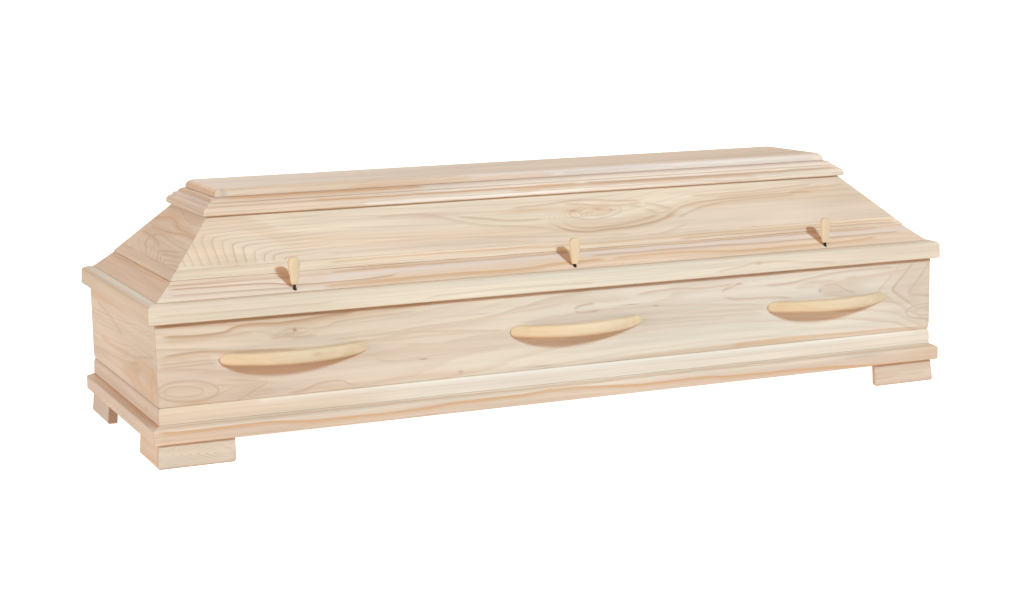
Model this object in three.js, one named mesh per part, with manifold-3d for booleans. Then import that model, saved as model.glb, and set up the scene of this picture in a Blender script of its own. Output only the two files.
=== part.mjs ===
// A closed pine coffin: a straight-sided box on bracket feet, with a lid that lifts off.
// Millimetres, +Z up, +X along the coffin, front towards -Y. The origin is on the ground, at the
// middle of the plan.
//
// The outer faces of the walls are the datum. A board that runs along a side is drawn as an outline
// of [proud, height] points, where proud is the distance outwards from the wall face.

import * as THREE from 'three';
import { mergeVertices } from 'three/addons/utils/BufferGeometryUtils.js';
import Module from 'manifold-3d';

const wasm = await Module();
wasm.setup();

// Driving dimensions

const wallLength = 2024;
const wallWidth = 661;
const gap = 0.3;

// Heights of the layers, from the ground up
const footTop = 57;
const baseTop = 98;
const skirtingTop = 135.5;
const wallTop = 322;
const rimTop = 366.5;
const bandTop = 404.9;
const slopeBottom = 407;
const slopeTop = 529;
const crownTop = 567.5;
const lidTop = 587;

// Box
const wallThickness = 22;
const baseProud = 17.2;
const baseRound = 5;
const baseDepth = 48;
const rebateDepth = 30;
const panelThickness = 16;
const skirtingProud = 0.8;
const grooveProud = -3.4;
const grooveDrop = 18;
const grooveRise = 22;

// Feet
const footLength = 168;
const footSplay = 7.8;
const footTopProud = 3;
const footEdge = 6;
const footCorner = 9;
const faceThickness = 12;
const returnThickness = 22;

// Lid
const rimProud = 18;
const rimTaper = 1.4;
const rimDepth = 38;
const rimRoundWidth = 20;
const rimRoundHeight = 11;
const bandFoot = -7.5;
const bandHead = -52;
const bandThickness = 16;
const slopeFoot = -50.4;
const slopeHead = -172.4;
const slopeThickness = 18;
const crownProud = -159.5;
const crownDepth = 240;
const crownLip = 4;
const crownNose = 4.5;
const crownRoundWidth = 16;
const crownRoundHeight = 17.5;
const crownLedges = [[-172.5, 550], [-174.5, 556], [-183, 557.3]];
const crownUpperWidth = 16;
const crownUpperHeight = 12;
const topProud = -198.6;
const topRoundWidth = 18.4;
const topRoundHeight = 16.5;

// Handles, three on each long side
const stationPitch = 699;
const handleHeight = 231;
const handleLength = 345;
const handleChord = 352;
const handleReach = 60;
const handleThickness = 24;
const handleDepth = 31;
const handleRound = 9;
const handleEnd = 11;
const handleTaper = 0.16;

// Wing screws, one above each handle, not all screwed in to the same depth
const screwPlaces = { left: -689, middle: 4, right: 702.5 };
const screwDrops = { left: 0, middle: 5, right: 2.5 };
const screwInset = 15.5;
const screwRadius = 3.5;
const screwHoleRadius = 4.2;
const screwGrip = 30;
const wingBottom = 383;
const wingHeight = 61;
const wingSquareness = 0.6;

// Materials

function finish(color, roughness, metalness = 0) {
  return new THREE.MeshStandardMaterial({ color, roughness, metalness });
}

const pine = finish(0xdcc5a6, 0.6);
const pineDark = finish(0xd2b591, 0.6);
const pinePale = finish(0xe6d4ba, 0.6);
const plainWood = finish(0xe4cf9f, 0.5);
const steel = finish(0x2b2724, 0.45, 0.8);

// Solids

const coffin = new THREE.Group();

function addPiece(name, geometry, material) {
  geometry.computeVertexNormals();
  const mesh = new THREE.Mesh(geometry, material);
  mesh.name = name;
  coffin.add(mesh);
}

// One closed skin with shared corners
function weld(geometry) {
  geometry.deleteAttribute('normal');
  geometry.deleteAttribute('uv');
  return mergeVertices(geometry, 1e-4);
}

function toSolid(geometry) {
  const skin = weld(geometry);
  return new wasm.Manifold(new wasm.Mesh({
    numProp: 3,
    vertProperties: new Float32Array(skin.getAttribute('position').array),
    triVerts: new Uint32Array(skin.getIndex().array),
  }));
}

function toGeometry(solid) {
  const { vertProperties, triVerts } = solid.getMesh();
  const geometry = new THREE.BufferGeometry();
  geometry.setAttribute('position', new THREE.BufferAttribute(vertProperties, 3));
  geometry.setIndex(new THREE.BufferAttribute(triVerts, 1));
  return geometry;
}

// Moves every corner of a geometry by a rule
function reshape(geometry, rule) {
  const position = geometry.getAttribute('position');
  const point = new THREE.Vector3();
  for (let i = 0; i < position.count; i += 1) {
    rule(point.fromBufferAttribute(position, i));
    position.setXYZ(i, point.x, point.y, point.z);
  }
  return geometry;
}

// Points along an elliptical arc, both ends included, with angles in degrees
function arc(centre, radii, from, to, steps) {
  return Array.from({ length: steps + 1 }, (_, i) => {
    const angle = THREE.MathUtils.degToRad(from + ((to - from) * i) / steps);
    return [centre[0] + radii[0] * Math.cos(angle), centre[1] + radii[1] * Math.sin(angle)];
  });
}

function extrude(points, depth) {
  const shape = new THREE.Shape(points.map(([x, y]) => new THREE.Vector2(x, y)));
  return new THREE.ExtrudeGeometry(shape, { depth, bevelEnabled: false });
}

// A prism with an outline of [x, z] points, between two places along Y
function prismAlongY(points, from, to) {
  return extrude(points, to - from).rotateX(Math.PI / 2).translate(0, to, 0);
}

// A prism with an outline of [y, z] points, between two places along X
function prismAlongX(points, from, to) {
  return extrude(points, to - from).rotateX(Math.PI / 2).rotateZ(Math.PI / 2).translate(from, 0, 0);
}

function uprightRod(radius, x, y, low, high) {
  const rod = new THREE.CylinderGeometry(radius, radius, high - low, 12);
  return rod.rotateX(Math.PI / 2).translate(x, y, (low + high) / 2);
}

// Frames of mitred boards

// Each side is modelled as the front and turned into its place
const sides = [
  { name: 'front', along: wallLength / 2, across: wallWidth / 2, turn: 0 },
  { name: 'right', along: wallWidth / 2, across: wallLength / 2, turn: Math.PI / 2 },
  { name: 'back', along: wallLength / 2, across: wallWidth / 2, turn: Math.PI },
  { name: 'left', along: wallWidth / 2, across: wallLength / 2, turn: -Math.PI / 2 },
];
const longSides = sides.filter(({ along, across }) => along > across);

function mitredBoard(side, points) {
  return reshape(extrude(points, 1), (p) => {
    const end = p.z > 0.5 ? -1 : 1;
    const proud = p.x;
    p.set(end * (side.along + proud - gap / Math.SQRT2), -(side.across + proud), p.y);
  });
}

function addFrame(nameOf, points, material, cutsOf = () => []) {
  for (const side of sides) {
    const board = cutsOf(side).reduce(
      (solid, cut) => solid.subtract(toSolid(cut)),
      toSolid(mitredBoard(side, points)),
    );
    addPiece(nameOf(side.name), toGeometry(board).rotateZ(side.turn), material);
  }
}

// Where the handles are, along a long side
const stations = { left: -stationPitch, middle: 0, right: stationPitch };

// A rod in the place of a screw, on a side that is modelled as the front
function screwRod(side, x, radius, low, high) {
  return uprightRod(radius, x, screwInset - side.across, low, high);
}

// The screws' places on a side that is modelled as the front
function screwLine(side) {
  return Object.values(screwPlaces).map((x) => (side.name === 'front' ? x : -x));
}

function screwHoles(low, high) {
  return (side) => (longSides.includes(side)
    ? screwLine(side).map((x) => screwRod(side, x, screwHoleRadius, low, high))
    : []);
}

// Base

const panelBottom = baseTop - panelThickness;

addFrame((side) => `base_moulding_${side}`, [
  [baseProud - 1, footTop],
  [baseProud, footTop + 1],
  ...arc([baseProud - baseRound, baseTop - 12], [baseRound, baseRound], 0, 60, 3),
  [skirtingProud, baseTop - gap],
  [-rebateDepth, baseTop - gap],
  [-rebateDepth, panelBottom - gap],
  [-baseDepth, panelBottom - gap],
  [-baseDepth, footTop],
], pineDark);

// The bottom panel lies in the rebate of the base moulding
const panel = new THREE.BoxGeometry(
  wallLength - 2 * (rebateDepth + gap),
  wallWidth - 2 * (rebateDepth + gap),
  panelThickness - gap,
);
addPiece('bottom_panel', weld(panel.translate(0, 0, baseTop - (panelThickness + gap) / 2)), pinePale);

// Walls

// The skirting and the walls curve in to a shallow groove where they meet
addFrame((side) => `skirting_${side}`, [
  [skirtingProud, baseTop],
  ...arc([grooveProud, skirtingTop - grooveDrop], [skirtingProud - grooveProud, grooveDrop], 0, 75, 3),
  [grooveProud, skirtingTop - gap],
  [-wallThickness, skirtingTop - gap],
  [-wallThickness, baseTop],
], pine);

addFrame((side) => (side === 'front' || side === 'back' ? `side_board_${side}` : `end_board_${side}`), [
  ...arc([grooveProud, skirtingTop + grooveRise], [-grooveProud, grooveRise], -90, 0, 4),
  [0, wallTop - 2],
  [-2, wallTop - gap],
  [-wallThickness, wallTop - gap],
  [-wallThickness, skirtingTop],
], pine, screwHoles(wallTop - screwGrip - 1, wallTop));

// Feet

// Both boards of a foot lean out towards the ground and end in a rounded edge. Points are
// [inwards, height], from the top of the outer face down to the ground.
const footFace = [
  [-footTopProud, footTop - gap],
  ...arc([footEdge - footSplay, footEdge], [footEdge, footEdge], 180, 270, 3),
];

// The inner face of a foot board, parallel to the outer one, from the ground up
function footBack(thickness) {
  return [[thickness - footSplay, 0], [thickness - footTopProud, footTop - gap]];
}

// A board that starts at one place inwards from the corner and ends in a rounded lower corner
function footEnd(length) {
  return [
    ...arc([length - footCorner, footCorner], [footCorner, footCorner], 270, 360, 3),
    [length, footTop - gap],
  ];
}

const crossing = footLength + 50;

// Both boards of a foot, drawn with the corner of the walls at the origin and the foot towards +X, +Y
const footFaceBoard = toSolid(prismAlongY([...footFace, ...footEnd(footLength)], -crossing, crossing))
  .intersect(toSolid(prismAlongX(
    [...footFace, ...footBack(faceThickness)],
    -crossing,
    crossing,
  )));
const footReturnBoard = toSolid(prismAlongX(
  [...footBack(faceThickness + gap).reverse(), ...footEnd(footLength)],
  -crossing,
  crossing,
)).intersect(toSolid(prismAlongY(
  [...footFace, ...footBack(returnThickness)],
  -crossing,
  crossing,
)));

// Turns a geometry inside out after a mirror
function mirrored(geometry, signX, signY) {
  geometry.scale(signX, signY, 1);
  if (signX * signY < 0) {
    const index = geometry.getIndex();
    for (let i = 0; i < index.count; i += 3) {
      const first = index.getX(i);
      index.setX(i, index.getX(i + 1));
      index.setX(i + 1, first);
    }
  }
  return geometry;
}

for (const [end, signX] of [['left', 1], ['right', -1]]) {
  for (const [edge, signY] of [['front', 1], ['back', -1]]) {
    const corner = [(-signX * wallLength) / 2, (-signY * wallWidth) / 2, 0];
    for (const [kind, board] of [['face', footFaceBoard], ['return', footReturnBoard]]) {
      const geometry = mirrored(toGeometry(board), signX, signY).translate(...corner);
      addPiece(`foot_${kind}_${edge}_${end}`, geometry, pineDark);
    }
  }
}

// Lid

addFrame((side) => `lid_rim_${side}`, [
  [rimProud - 2, wallTop],
  [rimProud, wallTop + 2],
  ...arc(
    [rimProud - rimTaper - rimRoundWidth, rimTop - rimRoundHeight - gap],
    [rimRoundWidth, rimRoundHeight],
    0,
    90,
    6,
  ),
  [-rimDepth, rimTop - gap],
  [-rimDepth, wallTop],
], pinePale, screwHoles(wallTop - 1, rimTop + 1));

// Outline of a sloping board from the foot and head of its outer face. A level end is cut flat, and a
// square end is cut across the board.
function slopingOutline(foot, head, thickness, levelFoot, levelHead) {
  const run = new THREE.Vector2(head[0] - foot[0], head[1] - foot[1]).normalize();
  const inwards = new THREE.Vector2(-run.y, run.x).multiplyScalar(thickness);
  const inner = (point, level) => {
    const slide = level ? -inwards.y / run.y : 0;
    return [point[0] + inwards.x + run.x * slide, point[1] + inwards.y + run.y * slide];
  };
  return [foot, head, inner(head, levelHead), inner(foot, levelFoot)];
}

addFrame(
  (side) => `lid_band_${side}`,
  slopingOutline([bandFoot, rimTop], [bandHead, bandTop], bandThickness, true, false),
  pinePale,
  screwHoles(rimTop - 1, bandTop),
);

addFrame(
  (side) => `lid_slope_${side}`,
  slopingOutline([slopeFoot, slopeBottom], [slopeHead, slopeTop - gap], slopeThickness, false, true),
  pine,
);

// The crown moulding has a wide round under a flatter one, with two narrow ledges between them
addFrame((side) => `lid_crown_${side}`, [
  ...arc([crownProud - crownLip, slopeTop + crownLip], [crownLip, crownLip], -90, 0, 2),
  ...arc([crownProud - crownRoundWidth, slopeTop + crownNose], [crownRoundWidth, crownRoundHeight], 0, 60, 4),
  ...crownLedges,
  ...arc([topProud, crownTop - gap - crownUpperHeight], [crownUpperWidth, crownUpperHeight], 15, 90, 4),
  [-crownDepth, crownTop - gap],
  [-crownDepth, slopeTop],
], pine);

// A rectangular slab that follows a [proud, height] outline round all four sides
function roundedSlab(points) {
  const reach = wallWidth;
  const profile = [
    [-reach, points[0][1]],
    ...points,
    [-reach, points[points.length - 1][1]],
  ].map(([proud, height]) => new THREE.Vector2(reach + proud, height));
  const fourSided = new THREE.LatheGeometry(profile, 4, Math.PI / 4).rotateX(Math.PI / 2);
  return reshape(fourSided, (p) => {
    const radius = Math.hypot(p.x, p.y);
    if (radius > 1) {
      const proud = radius - reach;
      p.x = Math.sign(p.x) * (wallLength / 2 + proud);
      p.y = Math.sign(p.y) * (wallWidth / 2 + proud);
    }
  });
}

addPiece('lid_top_board', weld(roundedSlab([
  [topProud, crownTop],
  ...arc([topProud - topRoundWidth, lidTop - topRoundHeight], [topRoundWidth, topRoundHeight], 0, 90, 6),
])), pine);

// Handles

// A handle is the part of a large ring that stands out in front of the wall
const ringRadius = (handleReach ** 2 + (handleChord / 2) ** 2) / (2 * handleReach);

function roundedRectangle(width, height, radius) {
  const [x, y] = [width / 2 - radius, height / 2 - radius];
  const corners = [[x, y, 0], [-x, y, 90], [-x, -y, 180], [x, -y, 270]];
  return corners.flatMap(([cx, cy, from]) => arc([cx, cy], [radius, radius], from, from + 90, 3));
}

function handleGeometry() {
  const section = roundedRectangle(handleThickness, handleDepth, handleRound)
    .map(([x, y]) => new THREE.Vector2(ringRadius - handleThickness / 2 + x, y));
  const ring = new THREE.LatheGeometry([...section, section[0]], 90)
    .rotateX(Math.PI / 2)
    .translate(0, ringRadius - handleReach, 0);
  const front = prismAlongY(roundedRectangle(handleLength, handleDepth, handleEnd), -2 * handleReach, -gap);
  const bow = toGeometry(toSolid(ring).intersect(toSolid(front)));
  return reshape(bow, (p) => {
    p.z *= 1 - handleTaper * ((2 * p.x) / handleLength) ** 2;
  });
}

// Wing screws

// Sections of a wing as [height, half width, half thickness], from the screw up
const wingSections = [
  [0, 6, 4.4],
  [3, 7.8, 5.4],
  [20, 10.4, 6],
  [40, 13, 6.6],
  [49, 13.6, 6.8],
  [55, 12.6, 6.6],
  [59, 10, 5.8],
  [wingHeight, 6.6, 4.4],
];

function wingGeometry() {
  const last = wingSections.length - 1;
  const profile = [
    new THREE.Vector2(0, 0),
    ...wingSections.map((_, row) => new THREE.Vector2(1, row)),
    new THREE.Vector2(0, last),
  ];
  const blank = new THREE.LatheGeometry(profile, 16, Math.PI / 16).rotateX(Math.PI / 2);
  return reshape(blank, (p) => {
    const [height, halfWidth, halfThickness] = wingSections[Math.round(p.z)];
    const square = (value) => Math.sign(value) * Math.abs(value) ** wingSquareness;
    p.set(halfWidth * square(p.x), halfThickness * square(p.y), height);
  });
}

for (const side of longSides) {
  const direction = side.name === 'front' ? 1 : -1;
  for (const [place, handleX] of Object.entries(stations)) {
    const handle = handleGeometry().translate(direction * handleX, -side.across, handleHeight);
    addPiece(`handle_${side.name}_${place}`, handle.rotateZ(side.turn), plainWood);
    const screwX = direction * screwPlaces[place];
    const wingFoot = wingBottom - screwDrops[place];
    const screw = weld(screwRod(side, screwX, screwRadius, wallTop - screwGrip, wingFoot - gap));
    addPiece(`screw_${side.name}_${place}`, screw.rotateZ(side.turn), steel);
    const wing = weld(wingGeometry()).translate(screwX, screwInset - side.across, wingFoot);
    addPiece(`wing_${side.name}_${place}`, wing.rotateZ(side.turn), plainWood);
  }
}

export default coffin;
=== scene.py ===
"""Looks for the pine coffin: refined boards, shaped handles and wings, procedural pine and a studio."""

import math
from types import SimpleNamespace

import bmesh
import bpy
from mathutils import Euler, Matrix, Vector


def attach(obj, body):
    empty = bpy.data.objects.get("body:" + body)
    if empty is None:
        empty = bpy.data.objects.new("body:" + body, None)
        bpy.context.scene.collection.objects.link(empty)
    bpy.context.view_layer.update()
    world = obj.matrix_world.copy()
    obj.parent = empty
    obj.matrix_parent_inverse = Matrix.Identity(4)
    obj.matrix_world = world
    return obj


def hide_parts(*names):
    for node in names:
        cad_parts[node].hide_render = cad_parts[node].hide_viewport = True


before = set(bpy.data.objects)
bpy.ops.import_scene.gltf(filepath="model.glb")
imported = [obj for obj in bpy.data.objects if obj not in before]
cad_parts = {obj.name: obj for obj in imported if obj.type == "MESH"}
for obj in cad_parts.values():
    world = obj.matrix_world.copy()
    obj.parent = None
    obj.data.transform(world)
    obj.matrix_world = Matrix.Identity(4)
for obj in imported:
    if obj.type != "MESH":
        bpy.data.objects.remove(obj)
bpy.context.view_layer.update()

# Dimensions in metres, with the outer faces of the walls as the datum
WALL_LENGTH = 2.024
WALL_WIDTH = 0.661
GAP = 0.0003
HALF_LENGTH = WALL_LENGTH / 2
HALF_WIDTH = WALL_WIDTH / 2
SQRT2 = math.sqrt(2)

FOOT_TOP = 0.057
BASE_TOP = 0.098
SKIRTING_TOP = 0.1355
WALL_TOP = 0.322
RIM_TOP = 0.3665
BAND_TOP = 0.4049
SLOPE_BOTTOM = 0.407
GLUE_LINE = 0.4255
SLOPE_TOP = 0.529
CROWN_TOP = 0.5675
LID_TOP = 0.587

WALL_THICKNESS = 0.022
BAND_THICKNESS = 0.016
SLOPE_THICKNESS = 0.018
REBATE = 0.016
COVE = 0.0034

# How far each outline stands proud of the walls
BASE_PROUD = 0.0172
BASE_REBATE = -0.030
BASE_INNER = -0.048
LEDGE_PROUD = 0.0008
RIM_PROUD = 0.018
RIM_INNER = -0.038
BAND_FOOT = -0.0075
BAND_HEAD = -0.052
SLOPE_HEAD = -0.1724
SLOPE_PROUD = -0.0504
GLUE_LINE_PROUD = SLOPE_PROUD - (GLUE_LINE - SLOPE_BOTTOM)
SLAB_PROUD = -0.1986
CROWN_INNER = -0.240

ARRIS = 0.0008
BASE_ROUND = 0.005
BASE_CUT = 0.001
WALL_CUT = 0.002
RIM_CUT = 0.002
STEP_ROUND = 0.016

# Places along the long sides
STATION_PITCH = 0.699
STATIONS = ("left", "middle", "right")
SCREW_PLACES = {"left": -0.689, "middle": 0.004, "right": 0.7025}
# Each screw is turned in to a depth of its own, as the photo shows
SCREW_DROPS = {"left": 0.0, "middle": 0.005, "right": 0.0025}
SCREW_INSET = 0.0155
SCREW_HOLE_RADIUS = 0.0042
SCREW_HOLE_LOW = 0.291
SCREW_HOLE_HIGH = 0.393

X_AXIS = Vector((1, 0, 0))
Y_AXIS = Vector((0, 1, 0))
Z_AXIS = Vector((0, 0, 1))

# Half length and distance of each side, its turn from the front, and the way into it
SIDES = {
    "front": (HALF_LENGTH, HALF_WIDTH, 0.0, Y_AXIS),
    "right": (HALF_WIDTH, HALF_LENGTH, math.pi / 2, -X_AXIS),
    "back": (HALF_LENGTH, HALF_WIDTH, math.pi, -Y_AXIS),
    "left": (HALF_WIDTH, HALF_LENGTH, -math.pi / 2, X_AXIS),
}
LONG_SIDES = ("front", "back")


# Shapes


def arc(centre, radii, start, end, steps):
    """Points on an elliptical arc, both ends included, with angles in degrees."""
    points = []
    for i in range(steps + 1):
        angle = math.radians(start + (end - start) * i / steps)
        points.append((centre[0] + radii[0] * math.cos(angle), centre[1] + radii[1] * math.sin(angle)))
    return points


def dress(piece, node):
    """Ties a piece to the frame in the place of a CAD node."""
    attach(piece, "root")
    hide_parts(node)


def new_piece(name, mesh_data, *materials):
    """An object in the scene, shaded smoothly."""
    piece = bpy.data.objects.new(name, mesh_data)
    bpy.context.scene.collection.objects.link(piece)
    for material in materials:
        mesh_data.materials.append(material)
    for polygon in mesh_data.polygons:
        polygon.use_smooth = True
    return piece


def soften(piece, width=ARRIS):
    """Rounds the arrises a little, and keeps the flats flat."""
    bevel = piece.modifiers.new("arris", "BEVEL")
    bevel.width = width
    bevel.segments = 2
    bevel.limit_method = "ANGLE"
    bevel.angle_limit = math.radians(24)
    bevel.harden_normals = True
    bevel.use_clamp_overlap = True
    normals = piece.modifiers.new("normals", "WEIGHTED_NORMAL")
    normals.keep_sharp = True
    return piece


def bmesh_to_mesh(name, shape):
    """Turns a bmesh into a mesh and frees it."""
    bmesh.ops.recalc_face_normals(shape, faces=shape.faces)
    data = bpy.data.meshes.new(name)
    shape.to_mesh(data)
    shape.free()
    return data


def mitred_board(name, side, outline, materials, split=None):
    """A board along one side with mitred ends, from an outline of (proud, height) points.

    Faces wholly below the height split take the second material.
    """
    along, across, turn, _ = SIDES[side]
    shape = bmesh.new()
    ends = []
    for end in (-1, 1):
        loop = []
        for proud, height in outline:
            x = end * (along + proud - GAP / SQRT2)
            loop.append(shape.verts.new((x, -(across + proud), height)))
        ends.append(loop)
    count = len(outline)
    for i in range(count):
        j = (i + 1) % count
        shape.faces.new((ends[0][i], ends[0][j], ends[1][j], ends[1][i]))
    shape.faces.new(ends[0])
    shape.faces.new(tuple(reversed(ends[1])))
    bmesh.ops.rotate(shape, verts=shape.verts, matrix=Matrix.Rotation(turn, 3, "Z"))
    if split is not None:
        for face in shape.faces:
            if max(v.co.z for v in face.verts) < split + 1e-5:
                face.material_index = 1
    return new_piece(name, bmesh_to_mesh(name, shape), *materials)


def sloping_outline(foot, head, thickness, level_foot, level_head, extra=()):
    """Outline of a sloping board. A level end is cut flat, a square end is cut across the board."""
    run = Vector((head[0] - foot[0], head[1] - foot[1])).normalized()
    inwards = Vector((-run.y, run.x)) * thickness

    def inner(point, level):
        slide = -inwards.y / run.y if level else 0.0
        return (point[0] + inwards.x + run.x * slide, point[1] + inwards.y + run.y * slide)

    return [foot, *extra, head, inner(head, level_head), inner(foot, level_foot)]


# Outlines of the boards, as (proud, height)
BASE_OUTLINE = [
    (BASE_PROUD - BASE_CUT, FOOT_TOP),
    (BASE_PROUD, FOOT_TOP + BASE_CUT),
    *arc((BASE_PROUD - BASE_ROUND, BASE_TOP - 0.012), (BASE_ROUND, BASE_ROUND), 0, 60, 8),
    (LEDGE_PROUD, BASE_TOP - GAP),
    (BASE_REBATE, BASE_TOP - GAP),
    (BASE_REBATE, BASE_TOP - REBATE - GAP),
    (BASE_INNER, BASE_TOP - REBATE - GAP),
    (BASE_INNER, FOOT_TOP),
]
SKIRTING_OUTLINE = [
    (LEDGE_PROUD, BASE_TOP),
    *arc((-COVE, SKIRTING_TOP - 0.018), (0.0042, 0.018), 0, 75, 8),
    (-COVE, SKIRTING_TOP - GAP),
    (-WALL_THICKNESS, SKIRTING_TOP - GAP),
    (-WALL_THICKNESS, BASE_TOP),
]
WALL_OUTLINE = [
    *arc((-COVE, SKIRTING_TOP + 0.022), (COVE, 0.022), -90, 0, 10),
    (0.0, WALL_TOP - WALL_CUT),
    (-WALL_CUT, WALL_TOP - GAP),
    (-WALL_THICKNESS, WALL_TOP - GAP),
    (-WALL_THICKNESS, SKIRTING_TOP),
]
RIM_OUTLINE = [
    (RIM_PROUD - RIM_CUT, WALL_TOP),
    (RIM_PROUD, WALL_TOP + RIM_CUT),
    *arc((-COVE, RIM_TOP - 0.011 - GAP), (0.020, 0.011), 0, 90, 16),
    (RIM_INNER, RIM_TOP - GAP),
    (RIM_INNER, WALL_TOP),
]
BAND_OUTLINE = sloping_outline((BAND_FOOT, RIM_TOP), (BAND_HEAD, BAND_TOP), BAND_THICKNESS, True, False)
SLOPE_OUTLINE = sloping_outline(
    (SLOPE_PROUD, SLOPE_BOTTOM), (SLOPE_HEAD, SLOPE_TOP - GAP), SLOPE_THICKNESS, False, True,
    extra=[(GLUE_LINE_PROUD, GLUE_LINE)])
CROWN_OUTLINE = [
    *arc((-0.1635, SLOPE_TOP + 0.004), (0.004, 0.004), -90, 0, 6),
    *arc((-0.1755, SLOPE_TOP + 0.0045), (STEP_ROUND, 0.0175), 0, 60, 12),
    (-0.1725, 0.550),
    (-0.1745, 0.556),
    (-0.183, 0.5573),
    *arc((SLAB_PROUD, CROWN_TOP - GAP - 0.012), (STEP_ROUND, 0.012), 15, 90, 10),
    (CROWN_INNER, CROWN_TOP - GAP),
    (CROWN_INNER, SLOPE_TOP),
]


def loft(name, rings):
    """A closed skin over rings of points, with a flat face on each end."""
    shape = bmesh.new()
    loops = [[shape.verts.new(point) for point in ring] for ring in rings]
    count = len(loops[0])
    for low, high in zip(loops, loops[1:]):
        for i in range(count):
            j = (i + 1) % count
            shape.faces.new((low[i], low[j], high[j], high[i]))
    shape.faces.new(tuple(reversed(loops[0])))
    shape.faces.new(loops[-1])
    bmesh.ops.remove_doubles(shape, verts=shape.verts, dist=1e-6)
    return bmesh_to_mesh(name, shape)


def carve(target, cutter, operation="DIFFERENCE"):
    """Cuts one mesh with another and returns the new mesh."""
    cut = bpy.data.objects.new("target", target)
    tool = bpy.data.objects.new("cutter", cutter)
    for item in (cut, tool):
        bpy.context.scene.collection.objects.link(item)
    boolean = cut.modifiers.new("cut", "BOOLEAN")
    boolean.object = tool
    boolean.operation = operation
    boolean.solver = "EXACT"
    graph = bpy.context.evaluated_depsgraph_get()
    result = bpy.data.meshes.new_from_object(cut.evaluated_get(graph))
    for item in (cut, tool):
        bpy.data.objects.remove(item)
    return result


def screw_holes(side):
    """Upright rods, one for each screw hole of a long side."""
    sign = -1 if side == "front" else 1
    middle = (SCREW_HOLE_LOW + SCREW_HOLE_HIGH) / 2
    shape = bmesh.new()
    for x in SCREW_PLACES.values():
        bmesh.ops.create_cone(
            shape, cap_ends=True, segments=24, radius1=SCREW_HOLE_RADIUS, radius2=SCREW_HOLE_RADIUS,
            depth=SCREW_HOLE_HIGH - SCREW_HOLE_LOW,
            matrix=Matrix.Translation((x, sign * (HALF_WIDTH - SCREW_INSET), middle)))
    return bmesh_to_mesh("holes", shape)


# Materials


class Wire:
    """The output of a node. Arithmetic with it adds math nodes to its graph."""

    def __init__(self, graph, socket):
        self.graph = graph
        self.socket = socket

    def __add__(self, other):
        return self.graph.math("ADD", self, other)

    def __radd__(self, other):
        return self.graph.math("ADD", other, self)

    def __sub__(self, other):
        return self.graph.math("SUBTRACT", self, other)

    def __rsub__(self, other):
        return self.graph.math("SUBTRACT", other, self)

    def __mul__(self, other):
        return self.graph.math("MULTIPLY", self, other)

    def __truediv__(self, other):
        return self.graph.math("DIVIDE", self, other)

    def __neg__(self):
        return self * -1.0


class Graph:
    """Short names for making nodes in one tree. What they return is a wire."""

    def __init__(self, tree):
        self.tree = tree

    def plug(self, socket, value):
        if isinstance(value, Wire):
            self.tree.links.new(value.socket, socket)
        else:
            socket.default_value = value

    def node(self, kind, inputs, output=0, **settings):
        """A node with its settings and inputs, which are keyed by name or by number."""
        node = self.tree.nodes.new(f"ShaderNode{kind}")
        for key, value in settings.items():
            setattr(node, key, value)
        for key, value in inputs.items():
            self.plug(node.inputs[key], value)
        return Wire(self, node.outputs[output])

    def math(self, operation, *values):
        return self.node("Math", dict(enumerate(values)), operation=operation)

    def dot(self, first, second):
        return self.node("VectorMath", {0: first, 1: second}, "Value", operation="DOT_PRODUCT")

    def combine(self, *values):
        return self.node("CombineXYZ", dict(enumerate(values)))

    def noise(self, vector, detail=2.0, roughness=0.5, scale=1.0):
        return self.node("TexNoise", {"Vector": vector, "Scale": scale, "Detail": detail,
                                      "Roughness": roughness})

    def line_noise(self, value, scale=1.0, detail=1.0):
        return self.node("TexNoise", {"W": value, "Scale": scale, "Detail": detail}, noise_dimensions="1D")

    def chance(self, value):
        """A steady random number from 0 to 1 for each whole value."""
        return self.node("TexWhiteNoise", {"W": value}, "Value", noise_dimensions="1D")

    def smooth(self, value, low, high, to_low=0.0, to_high=1.0):
        return self.node("MapRange", {"Value": value, "From Min": low, "From Max": high, "To Min": to_low,
                                      "To Max": to_high}, interpolation_type="SMOOTHSTEP")

    def mix(self, factor, first, second, blend="MIX"):
        """A mix of two colours, whose sockets come after those for numbers and vectors."""
        return self.node("Mix", {0: factor, 6: first, 7: second}, 2, data_type="RGBA", blend_type=blend)

    def bell(self, share, other=None):
        """1 where the shares are 0, and close to 0 where one is past 2."""
        total = share * share
        if other is not None:
            total = total + other * other
        return self.math("EXPONENT", -total)

    def most(self, values):
        """The largest of some values, and 0 where there are none."""
        largest = 0.0
        for value in values:
            largest = self.math("MAXIMUM", value, largest)
        return largest

    def curve(self, value, points):
        """A smooth curve through a few (place, value) points, level beyond its ends."""
        first, last = points[0][0], points[-1][0]
        low = min(level for _, level in points)
        span = max(max(level for _, level in points) - low, 1e-6)
        node = self.tree.nodes.new("ShaderNodeFloatCurve")
        line = node.mapping.curves[0]
        line.points[0].location = (0.0, (points[0][1] - low) / span)
        line.points[-1].location = (1.0, (points[-1][1] - low) / span)
        for place, level in points[1:-1]:
            line.points.new((place - first) / (last - first), (level - low) / span)
        node.mapping.update()
        self.plug(node.inputs["Value"], (value - first) / (last - first))
        return Wire(self, node.outputs[0]) * span + low

    def group(self, tree, **values):
        """A group node with its inputs. Its outputs are returned by name."""
        node = self.tree.nodes.new("ShaderNodeGroup")
        node.node_tree = tree
        for key, value in values.items():
            self.plug(node.inputs[key], value)
        return SimpleNamespace(**{socket.name: Wire(self, socket) for socket in node.outputs})


def socket_kind(is_colour):
    return "NodeSocketColor" if is_colour else "NodeSocketFloat"


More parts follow.
